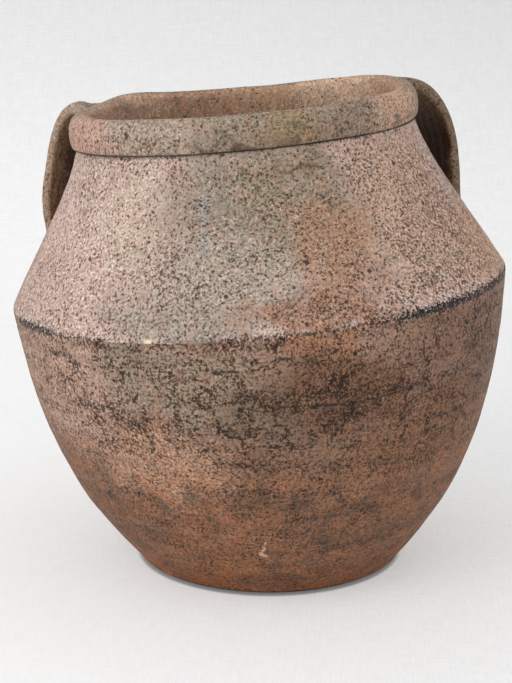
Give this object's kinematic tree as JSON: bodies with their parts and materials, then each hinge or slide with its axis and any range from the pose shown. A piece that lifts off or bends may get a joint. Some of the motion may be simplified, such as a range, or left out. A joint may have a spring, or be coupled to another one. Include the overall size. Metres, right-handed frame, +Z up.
{
  "type": "olive jar",
  "caption": "Hand-thrown earthenware storage jar with a flat foot, keeled belly, conical shoulder, thick rolled rim and strap handles set to the back.",
  "frame": {"origin": "centre of the flat foot, on the surface that the jar stands on", "axes": "+Z up, square to the foot; +Y to the back, the side that the handles are set towards; +X to the right, seen from the front"},
  "size_m": [0.3001, 0.3012, 0.2967],
  "materials": {
    "foot_clay": "matt fired earthenware, brown-orange and rubbed smooth",
    "bowl_clay": "matt fired earthenware, red-brown with grey-black fire clouds and dark grit",
    "shoulder_clay": "matt fired earthenware, pink and grey-beige, densely flecked with dark grit",
    "rim_clay": "matt fired earthenware, grey-beige and salmon, stained dark along its lower edge",
    "right_handle_clay": "matt fired earthenware, tan-grey edge over a dark inner face",
    "left_handle_clay": "matt fired earthenware, tan-grey edge over a dark inner face"
  },
  "bodies": {
    "root": {"foot_dish": "foot_clay", "bowl_wall": "bowl_clay", "shoulder_wall": "shoulder_clay", "rim_roll": "rim_clay", "right_handle": "right_handle_clay", "left_handle": "left_handle_clay"}
  },
  "joints": []
}
